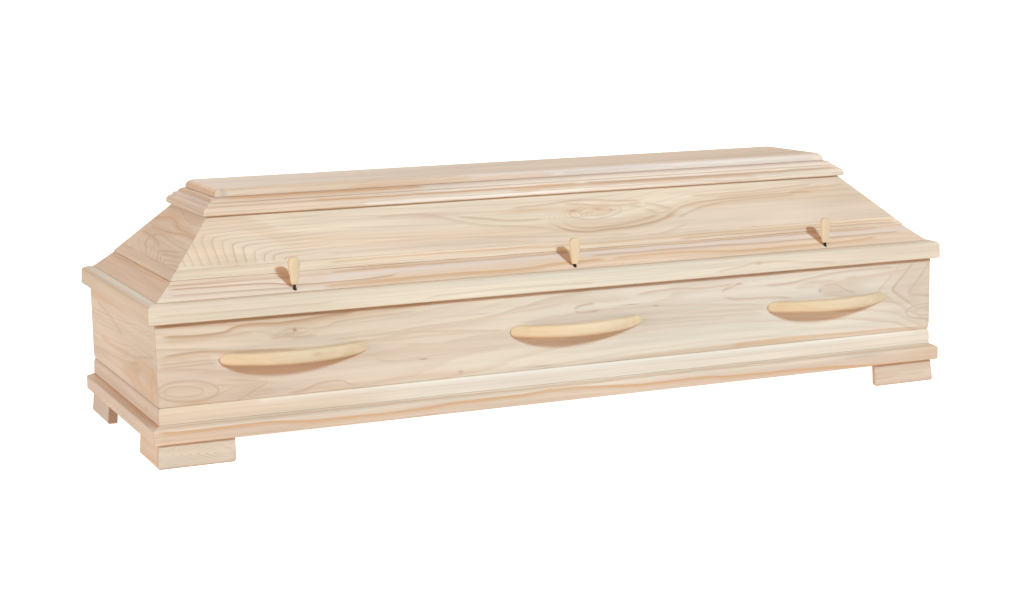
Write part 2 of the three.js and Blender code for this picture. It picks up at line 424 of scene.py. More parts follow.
def begin_group(name, **inputs):
    """The graph of a new node group, and its inputs by name. A tuple stands for a colour."""
    tree = bpy.data.node_groups.new(name, "ShaderNodeTree")
    for label, default in inputs.items():
        kind = socket_kind(isinstance(default, tuple))
        tree.interface.new_socket(name=label, in_out="INPUT", socket_type=kind).default_value = default
    g = Graph(tree)
    sockets = tree.nodes.new("NodeGroupInput").outputs
    return g, SimpleNamespace(**{label: Wire(g, sockets[label]) for label in inputs})


def end_group(g, **outputs):
    """Gives a node group its outputs and returns its tree."""
    for label, wire in outputs.items():
        kind = socket_kind(wire.socket.type == "RGBA")
        g.tree.interface.new_socket(name=label, in_out="OUTPUT", socket_type=kind)
    sockets = g.tree.nodes.new("NodeGroupOutput").inputs
    for label, wire in outputs.items():
        g.plug(sockets[label], wire)
    return g.tree


PALE = (0.700, 0.560, 0.425, 1)
WARM = (0.640, 0.440, 0.275, 1)
LINE = (0.500, 0.305, 0.180, 1)
BLUSH = (0.660, 0.490, 0.390, 1)
WHITE = (1.0, 1.0, 1.0, 1)
BROWN = (0.340, 0.180, 0.100, 1)
RED_BROWN = (0.480, 0.260, 0.150, 1)
ORANGE = (0.620, 0.330, 0.145, 1)
GREY = (0.440, 0.360, 0.320, 1)
LILAC = (0.740, 0.640, 0.590, 1)
# Pale marks in the wood, and painted highlights on the rounded edges of the crown, skirting and top board
PALE_MARK_AND_PAINTED_HIGHLIGHT = (0.900, 0.830, 0.760, 1)


def make_spot_group():
    """A soft oval spot on a face, 1 in its middle and 0 outside."""
    g, i = begin_group("soft_spot", u=0.0, v=0.0, at_u=0.0, at_v=0.0, length=0.1, height=0.1)
    return end_group(g, spot=g.bell((i.u - i.at_u) / i.length, (i.v - i.at_v) / i.height))


def make_rings_group():
    """Growth rings of a log: u along the grain, v across the face, w into the board."""
    g, i = begin_group("pine_rings", u=0.0, v=0.0, w=0.0, seed=0.0, centre=0.0, depth=0.05,
                       spacing=0.004, wander=0.01, warp=0.004, swell=0.0)
    drift = (g.line_noise(i.u + i.seed, 2.3) - 0.5) * (i.wander * 2.0)
    across = i.v - i.centre - drift
    deep = i.w + i.depth
    radius = g.math("SQRT", across * across + deep * deep)
    uneven = g.noise(g.combine(i.u * 5.0 + i.seed, i.v * 26.0, i.w * 26.0), 3.0, 0.55) - 0.5
    return end_group(g, ring=(radius + uneven * i.warp) / i.spacing + i.swell)


def make_surface_group():
    """Colour, roughness and relief of pine from its ring count."""
    g, i = begin_group("pine_surface", ring=0.0, u=0.0, v=0.0, w=0.0, seed=0.0, end=0.0, contrast=1.0,
                       bands=1.0, figure=0.0, cover=0.0, pale=PALE, warm=WARM, line=LINE, blush=BLUSH)

    def streaks(along, across):
        return g.noise(g.combine(i.u * along + i.seed, i.v * across, i.w * across))

    patch = streaks(1.6, 7.0)
    fibre = streaks(7.0, 420.0)
    streak = streaks(1.8, 60.0)

    # Latewood, darkest just before the end of each year
    part = g.math("FRACT", i.ring)
    chance = g.chance(g.math("FLOOR", i.ring) + i.seed)
    late = g.smooth(part, 0.42, 0.88) * g.smooth(part, 0.90, 1.0, 1.0, 0.0) * (0.18 + chance * chance * 0.95)
    relief = late * g.smooth(patch, 0.3, 0.7, 0.55, 1.0) * (i.contrast * 0.75)
    late = g.math("MAXIMUM", relief * (1.0 - i.cover), i.figure)

    band = g.smooth(g.line_noise(i.ring * 0.21 + i.seed * 3.1, 1.0, 2.0), 0.50, 0.72)
    blush = g.smooth(g.line_noise(i.ring * 0.11 + i.seed * 5.7), 0.42, 0.72)
    colour = g.mix(blush * (i.bands * 0.7), i.pale, i.blush)
    colour = g.mix(band * (i.bands * 0.75), colour, i.warm)
    colour = g.mix(late, colour, i.line)
    shade = g.smooth(fibre, 0.25, 0.75, 0.97, 1.025) + g.smooth(streak, 0.25, 0.75, -0.065, 0.065)
    shade = shade + g.smooth(patch, 0.3, 0.7, -0.045, 0.045)
    colour = g.node("VectorMath", {0: colour, "Scale": shade}, operation="SCALE")
    colour = g.mix(i.end * 0.45, colour, i.line)
    return end_group(g, colour=colour, height=relief * 0.5 + fibre * 0.5,
                     roughness=late * -0.10 + g.smooth(fibre, 0.25, 0.75, 0.60, 0.70))


def make_stroke_group():
    """A thin line along the grain, sharp above and softer below: dark for grain lines, and also used for a
    painted shadow and painted highlights.
    """
    g, i = begin_group("grain_and_painted_light_stroke", u=0.0, v=0.0, line=0.0, low=-1.0, high=1.0, width=0.0015)
    off = i.v - i.line
    softness = g.smooth(off, -i.width, i.width, 3.6, 1.0)
    fade = g.math("MINIMUM", (i.high - i.low) * 0.15, 0.03)
    inside = g.smooth(i.u, i.low, i.low + fade) * g.smooth(i.u, i.high - fade, i.high, 1.0, 0.0)
    return end_group(g, mask=g.bell(off / (i.width * softness)) * inside)


def along_and_across(i):
    """Distances along and across a tilted axis through a place on the face."""
    du = i.u - i.at_u
    dv = i.v - i.at_v
    return du * i.cos + dv * i.sin, dv * i.cos - du * i.sin


def make_conic_group():
    """A line on the conic level + linear t + square t^2 = d^2, with t along its axis and d across it.

    It runs from the distance back behind its place to the distance reach ahead.
    """
    g, i = begin_group("grain_conic", u=0.0, v=0.0, at_u=0.0, at_v=0.0, cos=1.0, sin=0.0, level=0.0,
                       linear=0.0, square=0.0, back=1.0, reach=1.0, width=0.0015)
    t, d = along_and_across(i)
    value = i.level + (i.linear + i.square * t) * t - d * d
    slope_t = i.linear + i.square * 2.0 * t
    slope_d = d * 2.0
    off = value / g.math("SQRT", slope_t * slope_t + slope_d * slope_d + 1e-7)
    line = g.bell(off / (i.width * g.smooth(off, -0.001, 0.001, 1.0, 3.0)))
    inside = g.smooth(t, i.reach * 0.5, i.reach, 1.0, 0.0) * g.math("GREATER_THAN", t, -i.back)
    return end_group(g, mask=line * inside)


def make_fan_group():
    """Nested arches that all open one way along a tilted axis, as lines and the share they cover."""
    g, i = begin_group("grain_fan", u=0.0, v=0.0, at_u=0.0, at_v=0.0, cos=1.0, sin=0.0, blunt=0.01,
                       above=0.6, below=1.0, spacing=0.02, low_u=-1.0, high_u=1.0, low_v=-1.0, high_v=1.0)
    t, d = along_and_across(i)
    d = g.math("MAXIMUM", d, 0.0) / i.above - g.math("MINIMUM", d, 0.0) / i.below
    bend = g.math("SQRT", i.blunt * i.blunt + d * d)
    uneven = g.noise(g.combine(i.u * 9.0, i.v * 22.0, 0.0)) - 0.5
    ring = (t + i.blunt - bend) / i.spacing + uneven * 0.7
    part = g.math("FRACT", ring + 100.0)
    rise = g.smooth(part, 0.25, 0.80) * 0.2 + g.smooth(part, 0.74, 0.92) * 0.8
    line = rise * g.smooth(part, 0.94, 1.0, 1.0, 0.0) * (0.55 + g.chance(g.math("FLOOR", ring)) * 0.45)

    def within(place, low, high, fade):
        """1 between two bounds, with a short fade at the low one and the given fade at the high one."""
        rising = g.smooth(place, low, low + (high - low) * 0.1)
        return rising * g.smooth(place, high + (low - high) * fade, high, 1.0, 0.0)

    cover = within(i.u, i.low_u, i.high_u, 0.3) * within(i.v, i.low_v, i.high_v, 0.15)
    return end_group(g, mask=line * cover, cover=cover)


SPOT = make_spot_group()
STROKE = make_stroke_group()
CONIC = make_conic_group()
FAN = make_fan_group()
RINGS = make_rings_group()
SURFACE = make_surface_group()


def pine(name, along, across, inward, origin=(0, 0, 0), seed=0.0, centre=0.0, depth=0.05,
         spacing=0.004, wander=0.01, warp=0.006, contrast=1.0, bands=1.0, pale=PALE, warm=WARM,
         line=LINE, blush=BLUSH, tone=WHITE, far_tone=WHITE, far=(), swells=(), marks=(), strokes=(),
         arches=(), ovals=(), fans=()):
    """Pine with its grain along one direction. Lengths are in metres from the origin given.

    centre and depth, the place of the pith across the face and under it, are numbers or lists of
    (along, value). swells are (along, across, length, height, rings) that bend the rings round a place,
    and marks are (along, across, length, height, strength, colour) that tint it: stains, and also painted
    highlights.

    strokes are (points, width, strength), lines along the grain, or have a colour as a fourth item. Some
    coloured strokes are painted shade, and some are painted highlights.
    arches are (along, across, tilt, opening, roundness, reach, width, strength), and ovals (along,
    across, tilt, half length, half height, width, strength). fans are rows of arches, (along, across,
    tilt, roundness, opening above, opening below, spacing, (low, high) along, (low, high) across,
    strength). A tilt is in degrees.

    tone multiplies the colours, and far_tone takes its place where far, a list of (along, share), is 1.
    """
    material = bpy.data.materials.new(name)
    material.use_nodes = True
    g = Graph(material.node_tree)
    g.tree.nodes.clear()
    point = g.node("VectorMath", {0: g.node("TexCoord", {}, "Object"), 1: origin}, operation="SUBTRACT")
    u, v, w = (g.dot(point, axis) for axis in (along, across, inward))
    facing = g.math("ABSOLUTE", g.dot(g.node("TexCoord", {}, "Normal"), along))

    def changing(value):
        return g.curve(u, value) if isinstance(value, list) else value

    def spot(at_u, at_v, length, height):
        return g.group(SPOT, u=u, v=v, at_u=at_u, at_v=at_v, length=length, height=height).spot

    swell = 0.0
    for *place, rings in swells:
        swell = spot(*place) * rings + swell
    ring = g.group(RINGS, u=u, v=v, w=w, seed=seed, centre=changing(centre), depth=changing(depth),
                   spacing=spacing, wander=wander, warp=warp, swell=swell).ring
    bent = v + (g.noise(g.combine(u * 14.0 + seed, v * 30.0, 0.0)) - 0.5) * 0.005

    def tilted(tree, at_u, at_v, tilt, **shape):
        turn = math.radians(tilt)
        return g.group(tree, u=u, v=bent, at_u=at_u, at_v=at_v, cos=math.cos(turn), sin=math.sin(turn),
                       **shape)

    figures, covers, stains_and_painted_light = [], [], []
    for points, width, strength, *tint in strokes:
        stroke = g.group(STROKE, u=u, v=bent, line=g.curve(u, points), low=points[0][0],
                         high=points[-1][0], width=width).mask * strength
        if tint:
            stains_and_painted_light.append((stroke, tint[0]))
        else:
            figures.append(stroke)
    for at_u, at_v, tilt, opening, roundness, reach, width, strength in arches:
        arch = tilted(CONIC, at_u, at_v, tilt, linear=2 * roundness * opening ** 2,
                      square=opening ** 2, back=roundness, reach=reach, width=width)
        figures.append(arch.mask * strength)
    for at_u, at_v, tilt, half_u, half_v, width, strength in ovals:
        oval = tilted(CONIC, at_u, at_v, tilt, level=half_v ** 2, square=-(half_v / half_u) ** 2,
                      back=2 * half_u, reach=3 * half_u, width=width)
        figures.append(oval.mask * strength)
    for at_u, at_v, tilt, roundness, above, below, gap, span_u, span_v, strength in fans:
        fan = tilted(FAN, at_u, at_v, tilt, blunt=roundness, above=above, below=below, spacing=gap,
                     low_u=span_u[0], high_u=span_u[1], low_v=span_v[0], high_v=span_v[1])
        figures.append(fan.mask * strength)
        covers.append(fan.cover)

    if far:
        tone = g.mix(g.curve(u, far), tone, far_tone)
    surface = g.group(
        SURFACE, ring=ring, u=u, v=v, w=w, seed=seed, end=g.smooth(facing, 0.75, 0.95),
        contrast=contrast, bands=bands, figure=g.most(figures), cover=g.most(covers), warm=warm, line=line,
        pale=g.mix(1.0, pale, tone, "MULTIPLY"), blush=g.mix(1.0, blush, tone, "MULTIPLY"))
    colour = surface.colour
    # Coloured strokes and marks: stains, grain lines and joints, and also painted shade and painted
    # highlights
    for mask, tint in stains_and_painted_light:
        colour = g.mix(mask, colour, tint)
    for *place, strength, tint in marks:
        colour = g.mix(spot(*place) * strength, colour, tint)
    relief = g.node("Bump", {"Strength": 0.25, "Distance": 0.0006, "Height": surface.height})
    shader = g.node("BsdfPrincipled", {"Base Color": colour, "Roughness": surface.roughness,
                                       "Normal": relief, "Specular IOR Level": 0.35})
    g.plug(g.tree.nodes.new("ShaderNodeOutputMaterial").inputs["Surface"], shader)
    return material


def side_axes(side, proud=0.0):
    """The way along a side, the way into it, and a point on its face."""
    _, distance, _, inward = SIDES[side]
    along = X_AXIS if side in LONG_SIDES else Y_AXIS
    return along, inward, -inward * (distance + proud)


def upright(name, side, **settings):
    """Pine on an upright board of one side, with the grain along the side."""
    along, inward, face = side_axes(side)
    return pine(name, along, Z_AXIS, inward, face, **settings)


def sloping(name, side, **settings):
    """Pine on a sloping board of one side, measured up the slope from the glue line."""
    along, inward, face = side_axes(side, GLUE_LINE_PROUD)
    return pine(name, along, (inward + Z_AXIS) / SQRT2, (inward - Z_AXIS) / SQRT2,
                face + Z_AXIS * GLUE_LINE, **settings)


def plain_wood(name, along, across, inward, origin, **settings):
    """The plainer, yellower wood of the handles and wings."""
    return pine(name, along, across, inward, origin, tone=(0.955, 0.925, 0.915, 1), spacing=0.0021,
                depth=0.12, contrast=0.22, bands=0.25, wander=0.004, warp=0.003,
                pale=(0.765, 0.600, 0.395, 1), warm=(0.70, 0.51, 0.30, 1),
                line=(0.60, 0.41, 0.23, 1), blush=(0.73, 0.55, 0.36, 1), **settings)


def steel(name):
    """Dark, slightly stained steel."""
    material = bpy.data.materials.new(name)
    material.use_nodes = True
    g = Graph(material.node_tree)
    tint = g.noise(g.node("TexCoord", {}, "Object"), detail=3.0, scale=300.0)
    inputs = g.tree.nodes["Principled BSDF"].inputs
    g.plug(inputs["Base Color"], g.mix(tint, (0.020, 0.018, 0.016, 1), (0.060, 0.052, 0.046, 1)))
    g.plug(inputs["Roughness"], g.smooth(tint, 0.3, 0.7, 0.35, 0.6))
    g.plug(inputs["Metallic"], 0.9)
    return material


# Boards

FRONT_WALL = dict(
    seed=21, spacing=0.0125, wander=0.003, warp=0.01, contrast=0.9, bands=0.6,
    centre=[(-1, 0.168), (-0.7, 0.165), (-0.3, 0.2), (0.2, 0.268), (0.6, 0.272), (0.95, 0.24)],
    depth=[(-1.02, 0.11), (-0.875, 0.117), (-0.763, 0.1235), (-0.54, 0.13), (-0.1, 0.1355), (0.396, 0.13),
           (0.679, 0.1235), (0.9, 0.117), (0.95, 0.1105), (1.02, 0.1)],
    far_tone=(1.07, 1.18, 1.28, 1),
    far=[(-1, 0), (-0.55, 0.15), (-0.25, 0.45), (0.2, 0.9), (0.45, 1), (0.85, 0.9), (1, 0.45)],
    swells=[(-0.7, 0.276, 0.05, 0.014, 1.1), (0.12, 0.283, 0.14, 0.016, 0.7)],
    marks=[(-0.27, 0.165, 0.3, 0.022, 0.5, (0.78, 0.67, 0.54, 1)),
           (0.96, 0.26, 0.08, 0.07, 0.6, (0.6, 0.49, 0.38, 1)),
           (-0.697, 0.283, 0.0045, 0.0038, 0.8, BROWN), (-0.712, 0.275, 0.03, 0.004, 0.35, BROWN),
           (-0.935, 0.166, 0.06, 0.02, 0.22, WARM), (-0.812, 0.163, 0.04, 0.012, 0.22, WARM),
           (-0.392, 0.188, 0.012, 0.0018, 0.7, BROWN), (-0.26, 0.281, 0.045, 0.003, 0.3, GREY),
           (0.145, 0.27, 0.028, 0.0014, 0.55, BROWN), (0.212, 0.262, 0.008, 0.0012, 0.6, BROWN),
           (0.048, 0.263, 0.012, 0.0012, 0.45, BROWN), (-0.93, 0.139, 0.03, 0.005, 0.5, ORANGE),
           (-0.095, 0.142, 0.035, 0.0015, 0.6, BROWN), (-0.3, 0.149, 0.006, 0.003, 0.5, BROWN),
           (-0.38, 0.15, 0.1, 0.006, 0.3, ORANGE), (-0.63, 0.146, 0.05, 0.004, 0.25, ORANGE),
           (0.05, 0.286, 0.05, 0.004, 0.3, BLUSH), (0.679, 0.262, 0.005, 0.005, 0.4, BROWN),
           (0.447, 0.297, 0.01, 0.003, 0.4, BROWN)],
    strokes=[
        ([(-1.007, 0.303), (-0.908, 0.29), (-0.862, 0.293), (-0.806, 0.305), (-0.727, 0.303),
          (-0.63, 0.309), (-0.548, 0.314)], 0.002, 0.9),
        ([(-1.005, 0.29), (-0.94, 0.281), (-0.86, 0.284), (-0.78, 0.292)], 0.002, 0.4),
        ([(-1.01, 0.247), (-0.976, 0.251), (-0.925, 0.254), (-0.863, 0.25),
          (-0.682, 0.239)], 0.002, 0.75),
        ([(-1.01, 0.24), (-0.95, 0.2445), (-0.88, 0.241)], 0.0014, 0.4),
        ([(-1.011, 0.232), (-0.957, 0.234), (-0.88, 0.233)], 0.0014, 0.5),
        ([(-1.011, 0.224), (-0.95, 0.226), (-0.872, 0.224)], 0.0014, 0.5),
        # Painted shadow: a dark line on the wall just under the rim, where the rim's overhang shades it
        ([(-1.02, 0.3205), (1.02, 0.3205)], 0.002, 0.65, BROWN),
        ([(-0.725, 0.141), (-0.693, 0.144), (-0.635, 0.158), (-0.59, 0.158), (-0.574, 0.15),
          (-0.562, 0.146), (-0.547, 0.155), (-0.538, 0.176)], 0.0014, 0.5),
        ([(-0.76, 0.27), (-0.715, 0.271), (-0.69, 0.267), (-0.64, 0.272)], 0.0016, 0.5),
        ([(-0.45, 0.262), (-0.3, 0.268), (-0.15, 0.279), (-0.02, 0.29)], 0.0016, 0.3),
        ([(-0.447, 0.257), (-0.349, 0.25), (-0.181, 0.236)], 0.0016, 0.35),
        ([(-0.68, 0.283), (-0.631, 0.284), (-0.598, 0.293), (-0.507, 0.299),
          (-0.397, 0.302)], 0.0014, 0.4),
        ([(-0.62, 0.253), (-0.558, 0.256), (-0.399, 0.258)], 0.0012, 0.35),
        ([(-0.521, 0.239), (-0.399, 0.242), (-0.181, 0.236)], 0.0012, 0.35),
        ([(-0.514, 0.202), (-0.498, 0.196), (-0.4, 0.187)], 0.0012, 0.35),
        ([(-0.448, 0.227), (-0.199, 0.208)], 0.002, 0.25),
        ([(-0.449, 0.191), (-0.364, 0.195), (-0.207, 0.201)], 0.0014, 0.3),
        ([(-0.01, 0.272), (-0.004, 0.275), (0.017, 0.28), (0.05, 0.283)], 0.0012, 0.6),
        ([(-0.01, 0.271), (0.009, 0.264), (0.062, 0.262)], 0.0012, 0.5),
        ([(0.07, 0.264), (0.224, 0.261), (0.34, 0.255), (0.532, 0.237)], 0.002, 0.28),
        ([(0.1, 0.247), (0.224, 0.243), (0.51, 0.23)], 0.0022, 0.26),
        ([(0.15, 0.232), (0.224, 0.229), (0.522, 0.22)], 0.0022, 0.26),
        ([(0.15, 0.22), (0.224, 0.218), (0.427, 0.216)], 0.0018, 0.25),
        ([(0.15, 0.292), (0.224, 0.299), (0.285, 0.3), (0.335, 0.296), (0.443, 0.302)], 0.0014, 0.45),
        ([(0.392, 0.277), (0.399, 0.285), (0.427, 0.294), (0.451, 0.301)], 0.0014, 0.5),
        ([(0.392, 0.276), (0.4, 0.269), (0.448, 0.26), (0.542, 0.257), (0.606, 0.247)], 0.0014, 0.45),
        ([(0.51, 0.289), (0.585, 0.288), (0.627, 0.294), (0.692, 0.301), (0.801, 0.307),
          (0.911, 0.305)], 0.0014, 0.45),
        ([(0.679, 0.262), (0.684, 0.272), (0.705, 0.276), (0.724, 0.275), (0.746, 0.263),
          (0.793, 0.244)], 0.0014, 0.5),
        ([(0.756, 0.284), (0.839, 0.287), (0.883, 0.293), (0.968, 0.299)], 0.0014, 0.4),
        ([(0.416, 0.144), (0.542, 0.149), (0.692, 0.147), (0.847, 0.146),
          (1.005, 0.138)], 0.0026, 0.5, ORANGE)],
    arches=[(-0.764, 0.171, 188.6, 0.31, 0.008, 0.12, 0.0015, 0.5),
            (-0.835, 0.17, 187, 0.24, 0.008, 0.1, 0.0014, 0.35),
            (0.896, 0.246, 6, 0.8, 0.006, 0.09, 0.0022, 0.65),
            (0.855, 0.246, 6, 0.75, 0.006, 0.09, 0.002, 0.35),
            (0.948, 0.232, 22, 0.55, 0.006, 0.11, 0.0022, 0.6)],
    ovals=[(-0.945, 0.168, -4, 0.07, 0.024, 0.0016, 0.5), (-0.955, 0.168, -4, 0.045, 0.013, 0.0014, 0.35),
           (1.005, 0.1825, 0, 0.066, 0.0205, 0.0015, 0.5), (1.005, 0.1825, 0, 0.04, 0.011, 0.0014, 0.35),
           (-0.706, 0.277, 5, 0.04, 0.009, 0.0013, 0.3)])

LEFT_WALL = dict(
    seed=22, tone=(0.95, 1.02, 1.08, 1), spacing=0.0085, wander=0.006, warp=0.01, contrast=0.7, bands=0.8,
    centre=[(-0.33, 0.18), (0, 0.165), (0.33, 0.15)],
    depth=[(-0.33, 0.06), (-0.2, 0.052), (-0.05, 0.066), (0.33, 0.074)],
    swells=[(-0.2, 0.19, 0.06, 0.03, -1), (-0.24, 0.285, 0.03, 0.02, 0.8)],
    strokes=[
        ([(-0.32, 0.246), (-0.275, 0.241), (-0.026, 0.21), (0.244, 0.207)], 0.0018, 0.45),
        ([(-0.175, 0.213), (-0.073, 0.195), (0.252, 0.173)], 0.0018, 0.4),
        ([(-0.02, 0.25), (0.016, 0.255), (0.118, 0.275), (0.259, 0.291)], 0.0018, 0.45)],
    arches=[(-0.115, 0.178, 180, 0.22, 0.006, 0.1, 0.0014, 0.45),
            (-0.085, 0.177, 180, 0.22, 0.008, 0.12, 0.0014, 0.35)],
    marks=[(-0.276, 0.175, 0.008, 0.035, 0.45, (0.55, 0.36, 0.14, 1)),
           (-0.3, 0.205, 0.01, 0.012, 0.3, BROWN)])

RIGHT_WALL = dict(
    seed=23, spacing=0.0055, centre=0.23,
    depth=[(-0.33, 0.05), (0.33, 0.085)])

BACK_WALL = dict(
    seed=24, spacing=0.0062, wander=0.006, warp=0.008, contrast=0.75, bands=0.7,
    centre=[(-1, 0.24), (0, 0.2), (1, 0.25)],
    depth=[(-1, 0.1), (-0.5, 0.115), (0.3, 0.13), (0.8, 0.12), (1, 0.105)],
    swells=[(0.42, 0.23, 0.07, 0.02, 1.8), (-0.55, 0.27, 0.09, 0.02, -1.6)],
    marks=[(0.42, 0.232, 0.01, 0.006, 0.5, BROWN)])

FRONT_SLOPE = dict(
    seed=51, spacing=0.0095, wander=0, warp=0.005, contrast=0.5, bands=0.4,
    centre=[(-1, 0.09), (-0.84, 0.078), (-0.785, 0.064), (-0.72, 0.024), (-0.6, -0.03), (0.1, -0.05),
            (0.45, -0.01), (0.9, -0.04)],
    depth=[(-1, 0.118), (-0.842, 0.095), (-0.722, 0.078), (-0.55, 0.067), (-0.1, 0.064), (0.3, 0.066),
           (0.4, 0.052), (0.7, 0.04), (0.95, 0.036)],
    tone=(1.11, 1.13, 1.14, 1), far_tone=(1, 1, 1.01, 1),
    far=[(-1, 0), (0.6, 0), (0.85, 1), (1, 1)],
    marks=[(-0.31, 0.105, 0.05, 0.01, 0.5, (0.62, 0.42, 0.32, 1)), (-0.06, 0.1, 0.07, 0.004, 0.5, ORANGE),
           (0.057, 0.089, 0.012, 0.003, 0.45, BROWN), (0.094, 0.08, 0.014, 0.003, 0.35, BROWN),
           (0.122, 0.09, 0.014, 0.003, 0.45, BROWN), (0.158, 0.084, 0.016, 0.003, 0.4, BROWN),
           (0.06, 0.09, 0.03, 0.008, 0.4, ORANGE), (0.13, 0.086, 0.022, 0.01, 0.4, ORANGE),
           (0.1, 0.066, 0.02, 0.005, 0.35, PALE_MARK_AND_PAINTED_HIGHLIGHT), (0.165, 0.064, 0.022, 0.004, 0.3, PALE_MARK_AND_PAINTED_HIGHLIGHT),
           (0.245, 0.082, 0.018, 0.005, 0.3, PALE_MARK_AND_PAINTED_HIGHLIGHT), (0.325, 0.094, 0.02, 0.004, 0.3, PALE_MARK_AND_PAINTED_HIGHLIGHT),
           (0.36, 0.066, 0.03, 0.01, 0.2, PALE_MARK_AND_PAINTED_HIGHLIGHT)],
    strokes=[
        ([(-0.256, 0.102), (-0.186, 0.087), (-0.087, 0.074), (-0.017, 0.076)], 0.0016, 0.5),
        ([(-0.45, 0.112), (-0.34, 0.112), (-0.278, 0.096), (-0.2, 0.07), (-0.05, 0.048),
          (0.015, 0.03)], 0.0016, 0.35),
        ([(-0.5, 0.04), (-0.3, 0.038), (-0.05, 0.02), (0.2, 0.008)], 0.0014, 0.28),
        ([(-0.6, 0.018), (-0.3, 0.016), (-0.05, 0.006)], 0.0014, 0.25),
        ([(0.028, 0.115), (0.09, 0.109), (0.154, 0.099), (0.26, 0.102)], 0.0016, 0.5),
        ([(0.205, 0.097), (0.236, 0.09), (0.263, 0.076), (0.285, 0.07)], 0.0022, 0.4),
        ([(0.25, 0.1), (0.28, 0.094), (0.308, 0.082), (0.33, 0.075)], 0.0022, 0.35),
        ([(0.279, 0.044), (0.32, 0.064), (0.393, 0.088), (0.5, 0.096), (0.75, 0.1)], 0.0016, 0.55),
        ([(0.32, 0.04), (0.35, 0.056), (0.449, 0.083), (0.53, 0.089), (0.7, 0.092)], 0.0016, 0.5),
        ([(-0.017, 0.08), (-0.004, 0.05), (0.02, 0.036), (0.072, 0.025), (0.129, 0.027), (0.225, 0.034),
          (0.308, 0.055), (0.34, 0.066)], 0.0018, 0.75),
        ([(0.01, 0.08), (0.02, 0.058), (0.06, 0.038), (0.12, 0.036), (0.2, 0.044),
          (0.29, 0.064)], 0.0016, 0.5),
        ([(-0.11, 0.112), (0, 0.116), (0.08, 0.122), (0.17, 0.114), (0.26, 0.108)], 0.0016, 0.5),
        ([(0.38, 0.112), (0.55, 0.114), (0.76, 0.126)], 0.0018, 0.45),
        ([(0.45, 0.104), (0.62, 0.108), (0.79, 0.118)], 0.0016, 0.4),
        ([(0.31, 0.126), (0.605, 0.128), (0.795, 0.135)], 0.0022, 0.35, BLUSH),
        ([(0.66, 0.1), (0.728, 0.108), (0.854, 0.118)], 0.0016, 0.4, ORANGE),
        ([(0.66, 0.096), (0.747, 0.103), (0.87, 0.1)], 0.0016, 0.35, ORANGE),
        ([(-1.05, 0), (1.05, 0)], 0.0009, 0.5, BROWN)],
    ovals=[(0.115, 0.082, 3, 0.072, 0.022, 0.0014, 0.35), (0.115, 0.084, 2, 0.045, 0.013, 0.0014, 0.35)],
    fans=[(-0.862, 0.088, -25, 0.022, 0.5, 1.25, 0.024, (-1.03, -0.5), (0, 0.15), 0.65),
          (-0.01, 0.076, 0, 0.012, 0.34, 0.42, 0.014, (-0.03, 0.15), (0.03, 0.112), 0.55),
          (0.3, -0.004, 0, 0.04, 0.24, 0.24, 0.02, (0.31, 0.95), (-0.004, 0.095), 0.28)])

LEFT_SLOPE = dict(
    seed=52, tone=(0.98, 1.04, 1.12, 1), spacing=0.008, wander=0.004, warp=0.01, contrast=0.7, bands=0.7,
    centre=[(-0.33, 0.02), (-0.1, 0.012), (0.1, 0.04), (0.33, 0.03)],
    depth=[(-0.33, 0.06), (-0.12, 0.035), (0.02, 0.045), (0.33, 0.09)],
    strokes=[
        ([(-0.219, 0.081), (-0.16, 0.087), (-0.006, 0.076), (0.176, 0.072)], 0.0016, 0.5),
        ([(-0.034, 0.031), (0.06, 0.048), (0.2, 0.054)], 0.0016, 0.45),
        ([(-1, 0), (1, 0)], 0.0009, 0.5, BROWN)],
    arches=[(-0.045, 0.024, 190, 0.3, 0.01, 0.2, 0.0015, 0.5),
            (-0.085, 0.018, 190, 0.28, 0.01, 0.16, 0.0015, 0.45),
            (-0.13, 0.01, 190, 0.26, 0.01, 0.14, 0.0015, 0.4),
            (-0.175, 0.003, 190, 0.26, 0.01, 0.12, 0.0015, 0.35)])

RIGHT_SLOPE = dict(
    seed=53, spacing=0.0048, centre=0.03,
    depth=[(-0.33, 0.04), (0.33, 0.08)])

BACK_SLOPE = dict(
    seed=54, spacing=0.005, wander=0.006, warp=0.005, contrast=0.6, bands=0.5,
    centre=[(-1, 0.02), (-0.2, 0.06), (0.4, 0.075), (1, 0.04)],
    depth=[(-1, 0.055), (-0.2, 0.07), (0.4, 0.095), (1, 0.13)])

WALL_GRAIN = {"front": FRONT_WALL, "left": LEFT_WALL, "right": RIGHT_WALL, "back": BACK_WALL}
SLOPE_GRAIN = {"front": FRONT_SLOPE, "left": LEFT_SLOPE, "right": RIGHT_SLOPE, "back": BACK_SLOPE}

# Grain of the smaller boards: first by kind, then what one side adds
KIND_GRAIN = {
    "base": dict(
        centre=0.02, depth=0.035, spacing=0.006, contrast=0.8, bands=0.9, warm=(0.62, 0.37, 0.2, 1),
        blush=(0.66, 0.47, 0.35, 1)),
    "plinth": dict(centre=0.3, depth=0.05, spacing=0.007, contrast=0.5, bands=0.5, wander=0.004),
    "rim": dict(centre=0.2, depth=0.1, spacing=0.007, contrast=0.4, bands=0.3, wander=0.006, warp=0.008),
    "band": dict(
        centre=-0.22, depth=0.06, spacing=0.0065, wander=0.012, contrast=0.7, bands=0.9,
        warm=(0.62, 0.38, 0.21, 1)),
    "strip": dict(centre=-0.2, depth=0.05, spacing=0.006, wander=0.008, contrast=0.6, bands=0.9),
    "crown": dict(
        centre=0.42, depth=0.04, spacing=0.0052, wander=0.01, contrast=0.9, bands=1,
        warm=(0.6, 0.38, 0.21, 1)),
}
